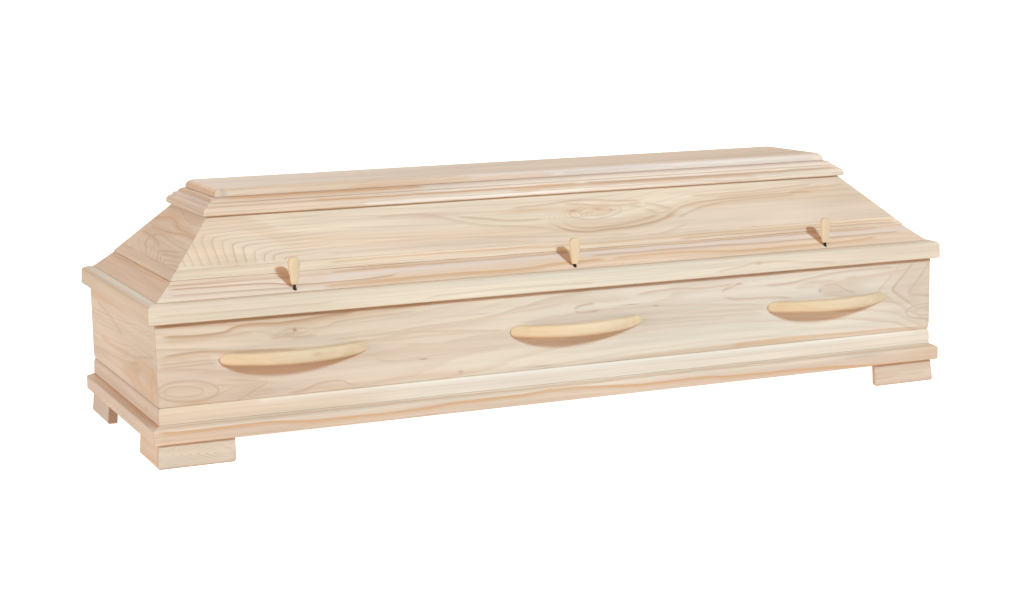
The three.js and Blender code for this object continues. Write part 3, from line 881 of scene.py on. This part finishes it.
SIDE_GRAIN = {
    ("base", "front"): dict(
        tone=(1.03, 0.99, 0.99, 1), far_tone=(1.05, 1.08, 1.12, 1),
        far=[(-1, 0), (-0.4, 1), (0.4, 1), (1, 0.3)],
        marks=[(0.8, 0.086, 0.06, 0.004, 0.5, GREY), (1, 0.08, 0.06, 0.02, 0.4, WARM)],
        strokes=[
            ([(-1.03, 0.095), (1.03, 0.0945)], 0.0008, 0.4, RED_BROWN),
            ([(-1.03, 0.09), (-0.884, 0.083), (-0.789, 0.084), (-0.644, 0.076), (-0.459, 0.075),
              (-0.31, 0.082), (-0.155, 0.083), (-0.065, 0.087), (0.072, 0.081), (0.214, 0.076),
              (0.325, 0.078), (0.398, 0.073), (0.651, 0.069), (0.847, 0.06),
              (1.03, 0.056)], 0.0018, 0.75, ORANGE),
            ([(-1.03, 0.068), (-0.8, 0.064), (-0.55, 0.06), (-0.35, 0.062)], 0.0015, 0.35)]),
    ("base", "left"): dict(
        tone=(0.93, 0.99, 1.09, 1),
        fans=[(-0.27, 0.076, 0, 0.005, 0.34, 0.34, 0.034, (-0.36, 0.34), (0.052, 0.1), 0.55)]),
    ("rim", "left"): dict(tone=(0.92, 0.97, 1, 1)),
    ("band", "left"): dict(tone=(0.95, 0.94, 0.96, 1)),
    ("strip", "left"): dict(tone=(0.97, 0.99, 1.05, 1)),
    ("crown", "left"): dict(tone=(0.94, 1, 1.07, 1)),
    ("strip", "front"): dict(
        tone=(1.11, 1.12, 1.12, 1),
        strokes=[
            ([(-0.6, -0.01), (-0.3, -0.006), (0.1, -0.012), (0.5, -0.008),
              (0.95, -0.012)], 0.0012, 0.5, ORANGE),
            ([(0.3, -0.018), (0.6, -0.016), (0.95, -0.02)], 0.0014, 0.55, RED_BROWN)]),
    ("crown", "front"): dict(
        tone=(1, 0.94, 0.92, 1), far_tone=(1.08, 1.12, 1.2, 1),
        far=[(-0.86, 0), (-0.6, 0.1), (-0.2, 1), (0.9, 1)],
        strokes=[
            ([(-0.8, 0.566), (-0.55, 0.5655), (-0.3, 0.565)], 0.0012, 0.75, ORANGE),
            ([(-0.6, 0.552), (-0.3, 0.55), (0.1, 0.553)], 0.0012, 0.6, ORANGE),
            ([(-0.1, 0.544), (0.25, 0.547), (0.6, 0.543)], 0.0012, 0.5, ORANGE),
            ([(0.1, 0.552), (0.45, 0.55), (0.84, 0.5535)], 0.0014, 0.5, RED_BROWN),
            # Painted highlights along the lower round of the crown
            ([(-0.48, 0.536), (-0.2, 0.5365), (0.12, 0.537)], 0.0014, 0.5, PALE_MARK_AND_PAINTED_HIGHLIGHT)]),
    ("plinth", "front"): dict(
        tone=(1.05, 1.02, 0.98, 1), far_tone=(1.07, 1.16, 1.26, 1),
        far=[(-1, 0), (-0.6, 0.2), (-0.3, 1), (0.9, 0.8)],
        contrast=0.3, bands=0.3,
        # Painted highlight along the rounded top edge of the skirting
        strokes=[([(-0.8, 0.132), (0.98, 0.132)], 0.0026, 0.3, PALE_MARK_AND_PAINTED_HIGHLIGHT)]),
    ("rim", "front"): dict(
        tone=(1.09, 1.13, 1.14, 1), far_tone=(1.11, 1.22, 1.28, 1),
        far=[(-1, 0), (-0.5, 0.4), (0, 1), (0.5, 0.6), (1, 0)],
        marks=[(0.49, 0.347, 0.007, 0.004, 0.6, ORANGE), (0.8, 0.345, 0.15, 0.02, 0.15, BLUSH)],
        strokes=[
            ([(-0.4, 0.33), (-0.3, 0.338), (-0.15, 0.34), (0.05, 0.334)], 0.0014, 0.3),
            ([(0.36, 0.334), (0.44, 0.344), (0.5, 0.35), (0.6, 0.344), (0.72, 0.332)], 0.0014, 0.3),
            ([(-1.02, 0.345), (-0.8, 0.341), (-0.6, 0.343)], 0.0014, 0.3)]),
    ("band", "front"): dict(
        tone=(1.13, 1.14, 1.22, 1), far_tone=(1.05, 0.98, 0.95, 1), bands=0.5,
        far=[(-1, 0), (-0.6, 0.1), (-0.45, 1), (1, 0.9)],
        strokes=[
            ([(-0.98, -0.0493), (-0.778, -0.0508), (-0.627, -0.0646),
              (-0.429, -0.0447)], 0.0012, 0.7, RED_BROWN),
            ([(-0.98, -0.038), (-0.8, -0.039), (-0.66, -0.043)], 0.001, 0.5, RED_BROWN),
            ([(-0.979, -0.066), (-0.798, -0.068), (-0.677, -0.0735)], 0.001, 0.5, RED_BROWN),
            ([(-0.62, -0.048), (-0.4, -0.042), (0, -0.037), (1, -0.038)], 0.0034, 0.7, LILAC),
            ([(-0.6, -0.036), (-0.45, -0.032), (-0.2, -0.034), (0.05, -0.031),
              (0.9, -0.031)], 0.001, 0.5, RED_BROWN),
            ([(0.05, -0.047), (0.3, -0.046), (0.6, -0.05), (0.95, -0.047)], 0.0014, 0.5, RED_BROWN),
            ([(-0.63, -0.0735), (-0.438, -0.0705), (-0.309, -0.068), (-0.158, -0.0715), (-0.042, -0.063),
              (0.1, -0.06)], 0.0022, 0.6, ORANGE),
            ([(0.1, -0.062), (0.24, -0.057), (0.52, -0.069), (0.874, -0.0545)], 0.002, 0.55, ORANGE)]),
    ("plinth", "left"): dict(tone=(0.9, 0.93, 1.01, 1), marks=[(-0.22, 0.115, 0.006, 0.004, 0.6, BROWN)]),
}


def grain_of(kind, side, seed):
    """The settings of a smaller board's grain."""
    return {"seed": seed, **KIND_GRAIN[kind], **SIDE_GRAIN.get((kind, side), {})}


def dress_side(number, side):
    """All the boards along one side, from the base up to the crown."""
    is_long = side in LONG_SIDES

    def board(name, node, outline, *materials, split=None, holes=False):
        piece = mitred_board(f"{name}_{side}", side, outline, materials, split)
        if holes and is_long:
            piece.data = carve(piece.data, screw_holes(side))
        dress(soften(piece), node)

    def level_pine(kind, seed):
        return upright(f"pine_{kind}_{side}", side, **grain_of(kind, side, seed + number))

    def sloping_pine(kind, seed):
        return sloping(f"pine_{kind}_{side}", side, **grain_of(kind, side, seed + number))

    board("base", f"base_moulding_{side}", BASE_OUTLINE, level_pine("base", 1.0))
    board("plinth", f"skirting_{side}", SKIRTING_OUTLINE, level_pine("plinth", 11.0))
    board("wall", f"side_board_{side}" if is_long else f"end_board_{side}", WALL_OUTLINE,
          upright(f"pine_wall_{side}", side, **WALL_GRAIN[side]), holes=True)
    board("rim", f"lid_rim_{side}", RIM_OUTLINE, level_pine("rim", 31.0), holes=True)
    board("band", f"lid_band_{side}", BAND_OUTLINE, sloping_pine("band", 41.0), holes=True)
    board("slope", f"lid_slope_{side}", SLOPE_OUTLINE,
          sloping(f"pine_slope_{side}", side, **SLOPE_GRAIN[side]), sloping_pine("strip", 56.0),
          split=GLUE_LINE)
    board("crown", f"lid_crown_{side}", CROWN_OUTLINE, level_pine("crown", 61.0))


for side_number, side_name in enumerate(SIDES):
    dress_side(side_number, side_name)


# Top board and bottom panel

TOP_EDGE = (0.0184, 0.0165)


def top_board():
    """A slab with the same rounded edge on all four sides."""
    width, height = TOP_EDGE
    edge = arc((SLAB_PROUD - width, LID_TOP - height), TOP_EDGE, 0, 90, 16)
    rings = []
    for proud, z in [(SLAB_PROUD, CROWN_TOP), *edge]:
        x = HALF_LENGTH + proud
        y = HALF_WIDTH + proud
        rings.append([(-x, -y, z), (x, -y, z), (x, y, z), (-x, y, z)])
    return loft("top_board", rings)


TOP_GRAIN = dict(
    seed=71,
    centre=[(-0.8, 0), (0.8, 0.05)],
    depth=[(-0.8, 0.05), (0.8, 0.07)],
    spacing=0.0065, contrast=0.4, bands=0.6, tone=(1.05, 1.07, 1.12, 1),
    strokes=[
        ([(-0.5, -0.1312), (-0.3, -0.1305), (-0.1, -0.13), (0.05, -0.131)], 0.0008, 0.5, ORANGE),
        ([(-0.2, -0.127), (0.2, -0.126), (0.8, -0.127)], 0.0014, 0.6, LILAC),
        ([(0.05, -0.131), (0.3, -0.13), (0.55, -0.1312), (0.8, -0.13)], 0.0005, 0.35, GREY),
        ([(-0.8, -0.125), (-0.5, -0.1262), (-0.2, -0.124)], 0.0009, 0.35)],
    marks=[(-0.793, -0.129, 0.007, 0.008, 0.6, GREY), (-0.55, -0.131, 0.22, 0.005, 0.5, WARM),
           # Painted highlight on the rounded front edge of the slab
           (0.45, -0.13, 0.3, 0.005, 0.3, PALE_MARK_AND_PAINTED_HIGHLIGHT)])
top_pine = pine("pine_top", X_AXIS, Y_AXIS, -Z_AXIS, Z_AXIS * LID_TOP, **TOP_GRAIN)

dress(soften(new_piece("top_board", top_board(), top_pine)), "lid_top_board")

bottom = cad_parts["bottom_panel"]
bottom.data.materials.clear()
bottom.data.materials.append(pine("pine_bottom", X_AXIS, Y_AXIS, Z_AXIS, seed=81.0))
soften(bottom)


# Feet

FOOT_LENGTH = 0.168
FOOT_SPLAY = 0.0078
FOOT_TOP_PROUD = 0.003
FOOT_EDGE = 0.006
FOOT_CORNER = 0.009
FOOT_ARRIS = 0.0006
FACE_THICKNESS = 0.012
RETURN_THICKNESS = 0.022
FOOT_REACH = 0.3


def foot_boards():
    """The two boards of a foot, with the corner of the walls at the origin and the foot towards +X, +Y."""
    face = [(-FOOT_TOP_PROUD, FOOT_TOP - GAP),
            *arc((FOOT_EDGE - FOOT_SPLAY, FOOT_EDGE), (FOOT_EDGE, FOOT_EDGE), 180, 270, 8)]
    end = [*arc((FOOT_LENGTH - FOOT_CORNER, FOOT_CORNER), (FOOT_CORNER, FOOT_CORNER), 270, 360, 10),
           (FOOT_LENGTH, FOOT_TOP - GAP)]

    def back(thickness):
        return [(thickness - FOOT_SPLAY, 0.0), (thickness - FOOT_TOP_PROUD, FOOT_TOP - GAP)]

    def along_y(outline):
        return loft("prism", [[(a, y, b) for a, b in outline] for y in (-FOOT_REACH, FOOT_REACH)])

    def along_x(outline):
        return loft("prism", [[(x, a, b) for a, b in outline] for x in (-FOOT_REACH, FOOT_REACH)])

    inner = list(reversed(back(FACE_THICKNESS + GAP)))
    return {
        "face": carve(along_y([*face, *end]), along_x([*face, *back(FACE_THICKNESS)]), "INTERSECT"),
        "return": carve(along_x([*inner, *end]), along_y([*face, *back(RETURN_THICKNESS)]), "INTERSECT"),
    }


FOOT_BOARDS = foot_boards()

FOOT_GRAIN = {
    ("return", "front", "left"): dict(tone=(0.97, 1.06, 1.18, 1)),
    ("return", "back", "left"): dict(tone=(0.8, 0.86, 0.94, 1)),
    ("face", "front", "left"): dict(
        centre=[(-1.02, 0.03), (-0.84, 0.02)],
        depth=[(-1.02, 0.04), (-0.93, 0.048), (-0.84, 0.062)],
        spacing=0.007, seed=95,
        fans=[(-0.985, 0.032, -4, 0.006, 0.32, 0.32, 0.019, (-1.01, -0.86), (0.004, 0.055), 0.6)]),
}


def dress_foot_board(kind, edge, end):
    """One board of the foot at a long side, the edge, and a short side, the end."""
    sign_x = 1 if end == "left" else -1
    sign_y = 1 if edge == "front" else -1
    shape = bmesh.new()
    shape.from_mesh(FOOT_BOARDS[kind])
    for vert in shape.verts:
        vert.co.x = sign_x * (vert.co.x - HALF_LENGTH)
        vert.co.y = sign_y * (vert.co.y - HALF_WIDTH)
    place = f"{kind}_{edge}_{end}"
    grain = dict(seed=91.0 + (end == "right") + sign_y * 0.3, centre=0.03, depth=0.05, spacing=0.0045,
                 contrast=0.7, bands=0.8)
    grain.update(FOOT_GRAIN.get((kind, edge, end), {}))
    wood = upright(f"pine_foot_{place}", edge if kind == "face" else end, **grain)
    piece = new_piece(f"bracket_{place}", bmesh_to_mesh(f"foot_{place}", shape), wood)
    dress(soften(piece, FOOT_ARRIS), f"foot_{place}")


for end_name in ("left", "right"):
    for edge_name in LONG_SIDES:
        for board_kind in FOOT_BOARDS:
            dress_foot_board(board_kind, edge_name, end_name)


# Handles

HANDLE_HEIGHT = 0.231
HANDLE_LENGTH = 0.345
HANDLE_CHORD = 0.352
HANDLE_REACH = 0.060
HANDLE_THICKNESS = 0.024
HANDLE_DEPTH = 0.031
HANDLE_ROUND = 0.009
HANDLE_END = 0.011
HANDLE_TAPER = 0.16
HANDLE_ARRIS = 0.0007
HANDLE_STEPS = 120


def rounded_rectangle(width, height, radius):
    x, y = width / 2 - radius, height / 2 - radius
    points = []
    for cx, cy, start in ((x, y, 0), (-x, y, 90), (-x, -y, 180), (x, -y, 270)):
        points.extend(arc((cx, cy), (radius, radius), start, start + 90, 6))
    return points


def handle_mesh():
    """A bow that is part of a ring, cut off by the wall and rounded at its ends."""
    radius = (HANDLE_REACH ** 2 + (HANDLE_CHORD / 2) ** 2) / (2 * HANDLE_REACH)
    swing = math.asin(HANDLE_LENGTH / 2 / radius)
    section = rounded_rectangle(HANDLE_THICKNESS, HANDLE_DEPTH, HANDLE_ROUND)
    rings = []
    for step in range(HANDLE_STEPS + 1):
        angle = swing * math.sin(math.pi / 2 * (2 * step / HANDLE_STEPS - 1))
        reach = radius * math.sin(abs(angle))
        over = max(0.0, reach - (HANDLE_LENGTH / 2 - HANDLE_END))
        half = HANDLE_DEPTH / 2 - HANDLE_END + math.sqrt(max(HANDLE_END ** 2 - over ** 2, 0.0))
        taper = 1 - HANDLE_TAPER * (reach / (HANDLE_LENGTH / 2)) ** 2
        scale = half / (HANDLE_DEPTH / 2) * taper
        ring = []
        for across, height in section:
            r = radius - HANDLE_THICKNESS / 2 + across
            y = radius - HANDLE_REACH - r * math.cos(angle)
            ring.append((r * math.sin(angle), min(y, -GAP), height * scale))
        rings.append(ring)
    return loft("handle", rings)


# Wings and screws

WING_BOTTOM = 0.383
# Rows of height, half width and half thickness
WING_SECTIONS = [(0.0, 0.0060, 0.0044), (0.003, 0.0078, 0.0054), (0.020, 0.0104, 0.0060),
                 (0.040, 0.0130, 0.0066), (0.049, 0.0136, 0.0068), (0.055, 0.0126, 0.0066),
                 (0.059, 0.0100, 0.0058), (0.061, 0.0066, 0.0044)]
WING_SQUARENESS = 0.55
WING_ARRIS = 0.0006
WING_FACETS = 40
SCREW_RADIUS = 0.0035
SCREW_LOW = 0.292
SCREW_FACETS = 28
SCREW_CHAMFER = 0.0005
THREAD_LOW = RIM_TOP - 0.012
THREAD_PITCH = 0.00175
THREAD_DEPTH = 0.0005


def smooth_rows(points, steps):
    """More rows on a smooth line through rows of numbers."""
    rows = []
    for i in range(len(points) - 1):
        before = points[max(i - 1, 0)]
        after = points[min(i + 2, len(points) - 1)]
        for k in range(steps):
            t = k / steps
            row = []
            for p0, p1, p2, p3 in zip(before, points[i], points[i + 1], after):
                row.append(0.5 * (2 * p1 + (p2 - p0) * t + (2 * p0 - 5 * p1 + 4 * p2 - p3) * t * t
                                  + (3 * p1 - p0 - 3 * p2 + p3) * t ** 3))
            rows.append(row)
    return [*rows, points[-1]]


def wing_mesh():
    """An upright wing whose sections are rounded oblongs."""
    rings = []
    for height, half_x, half_y in smooth_rows(WING_SECTIONS, 5):
        ring = []
        for k in range(WING_FACETS):
            angle = 2 * math.pi * k / WING_FACETS
            x, y = math.cos(angle), math.sin(angle)
            ring.append((half_x * math.copysign(abs(x) ** WING_SQUARENESS, x),
                         half_y * math.copysign(abs(y) ** WING_SQUARENESS, y), height))
        rings.append(ring)
    return loft("wing", rings)


def screw_mesh(drop):
    """A steel rod with a thread where it shows between the lid and its wing."""
    top = WING_BOTTOM - drop - GAP
    rows = round((top - THREAD_LOW) / (THREAD_PITCH / 8))
    heights = [SCREW_LOW, SCREW_LOW + 0.0006]
    heights += [THREAD_LOW + (top - THREAD_LOW) * k / rows for k in range(rows + 1)]
    rings = []
    for row, height in enumerate(heights):
        ring = []
        for k in range(SCREW_FACETS):
            angle = 2 * math.pi * k / SCREW_FACETS
            phase = (height / THREAD_PITCH - k / SCREW_FACETS) % 1.0
            depth = THREAD_DEPTH * (1 - abs(2 * phase - 1)) if row > 2 else 0.0
            r = SCREW_RADIUS - depth - (SCREW_CHAMFER if row == 0 else 0.0)
            ring.append((r * math.cos(angle), r * math.sin(angle), height))
        rings.append(ring)
    return loft("screw", rings)


HANDLE_DATA = handle_mesh()
WING_DATA = wing_mesh()
# A small knot in the front left handle
HANDLE_SPOT = (-0.665, 0.235, 0.012, 0.005, 0.5, (0.56, 0.34, 0.17, 1))
HANDLE_DARK = (0.72, 0.49, 0.26, 1)
# A painted highlight on the middle of each handle
HANDLE_PAINTED_HIGHLIGHT = (0.86, 0.73, 0.54, 1)
dark_steel = steel("dark_steel")


def fitting(name, data, turn, place, material, node, width=0.0):
    """A handle, wing or screw, turned and moved to its place, with its arrises softened by width."""
    shape = bmesh.new()
    shape.from_mesh(data)
    bmesh.ops.rotate(shape, verts=shape.verts, matrix=Matrix.Rotation(turn, 3, "Z"))
    bmesh.ops.translate(shape, verts=shape.verts, vec=place)
    piece = new_piece(name, bmesh_to_mesh(name, shape), material)
    if width:
        soften(piece, width)
    dress(piece, node)


def dress_station(side, number, station):
    """The handle and the wing screw at one place on a long side."""
    sign = -1 if side == "front" else 1
    turn = SIDES[side][2]
    label = f"{side}_{station}"
    x, y = (number - 1) * STATION_PITCH, sign * HALF_WIDTH
    # An orange tint towards the left end of each handle, and a painted highlight just right of its middle
    stains_and_painted_light = [(x - 0.13, HANDLE_HEIGHT, 0.07, 0.03, 0.35, HANDLE_DARK),
              (x + 0.03, HANDLE_HEIGHT + 0.006, 0.08, 0.012, 0.3, HANDLE_PAINTED_HIGHLIGHT)]
    if label == "front_left":
        stains_and_painted_light.append(HANDLE_SPOT)
    wood = plain_wood(f"handle_wood_{label}", X_AXIS, Z_AXIS, Y_AXIS, (0, y, 0),
                      seed=3.0 + number * 1.7 + sign, centre=HANDLE_HEIGHT + 0.03, marks=stains_and_painted_light)
    fitting(f"bow_{label}", HANDLE_DATA, turn, (x, y, HANDLE_HEIGHT), wood,
            f"handle_{label}", HANDLE_ARRIS)
    x, y = SCREW_PLACES[station], sign * (HALF_WIDTH - SCREW_INSET)
    drop = SCREW_DROPS[station]
    fitting(f"stud_{label}", screw_mesh(drop), turn, (x, y, 0), dark_steel,
            f"screw_{label}")
    wood = plain_wood(f"wing_wood_{label}", Z_AXIS, X_AXIS, Y_AXIS, (x, y, 0),
                      seed=13.0 + number * 1.3 + sign, centre=0.02)
    fitting(f"key_{label}", WING_DATA, turn, (x, y, WING_BOTTOM - drop), wood,
            f"wing_{label}", WING_ARRIS)


for side_name in LONG_SIDES:
    for station_number, station_name in enumerate(STATIONS):
        dress_station(side_name, station_number, station_name)


# Studio

scene = bpy.context.scene
scene.view_settings.view_transform = "Standard"
scene.view_settings.look = "None"


def studio_world(colour, below, around):
    """An even warm room, a little brighter below."""
    world = bpy.data.worlds.new("studio")
    world.use_nodes = True
    g = Graph(world.node_tree)
    height = g.node("SeparateXYZ", {0: g.node("TexCoord", {}, "Generated")}, "Z")
    background = g.tree.nodes["Background"].inputs
    g.plug(background["Color"], colour)
    g.plug(background["Strength"], g.smooth(height, -0.1, 0.1, below, around))
    return world


def soft_light(name, azimuth, elevation, strength, angle, colour):
    """A large far lamp. Its azimuth is in degrees from the front and grows towards the right."""
    lamp = bpy.data.lights.new(name, "SUN")
    lamp.energy = strength
    lamp.angle = math.radians(angle)
    lamp.color = colour
    lamp_object = bpy.data.objects.new(name, lamp)
    around, up = math.radians(azimuth), math.radians(elevation)
    towards = Vector((math.sin(around) * math.cos(up), -math.cos(around) * math.cos(up), math.sin(up)))
    lamp_object.rotation_euler = towards.to_track_quat("Z", "Y").to_euler()
    scene.collection.objects.link(lamp_object)


scene.world = studio_world((1.0, 0.65, 0.40, 1), below=0.66, around=0.56)
soft_light("key", azimuth=25, elevation=29, strength=2.83, angle=8, colour=(0.51, 0.80, 0.98))
soft_light("fill", azimuth=-75, elevation=2, strength=1.76, angle=25, colour=(0.75, 0.89, 1.0))
soft_light("back", azimuth=170, elevation=32, strength=0.90, angle=12, colour=(0.60, 0.85, 1.0))

FLOOR_REACH = 400.0


def pale_floor():
    """A material that looks white and doesn't light the coffin."""
    material = bpy.data.materials.new("pale_floor")
    material.use_nodes = True
    inputs = material.node_tree.nodes["Principled BSDF"].inputs
    inputs["Base Color"].default_value = (0.5, 0.5, 0.5, 1)
    inputs["Emission Color"].default_value = WHITE
    inputs["Emission Strength"].default_value = 1.0
    inputs["Roughness"].default_value = 0.9
    inputs["Specular IOR Level"].default_value = 0.1
    return material


floor_data = bpy.data.meshes.new("floor")
corners = [(x * FLOOR_REACH, y * FLOOR_REACH, 0) for x, y in ((-1, -1), (1, -1), (1, 1), (-1, 1))]
floor_data.from_pydata(corners, [], [(0, 1, 2, 3)])
floor_data.materials.append(pale_floor())
floor = bpy.data.objects.new("floor", floor_data)
floor.visible_diffuse = False
floor.visible_shadow = False
scene.collection.objects.link(floor)

# A camera fitted to the corners in the photo
camera_data = bpy.data.cameras.new("camera")
camera_data.sensor_width = 36.0
camera_data.lens = 68.3055
camera = bpy.data.objects.new("camera", camera_data)
camera.location = (-1.97359, -4.42468, 1.04665)
camera.rotation_euler = Euler([math.radians(a) for a in (80.65699, 0.92909, -23.96403)])
scene.collection.objects.link(camera)
scene.camera = camera
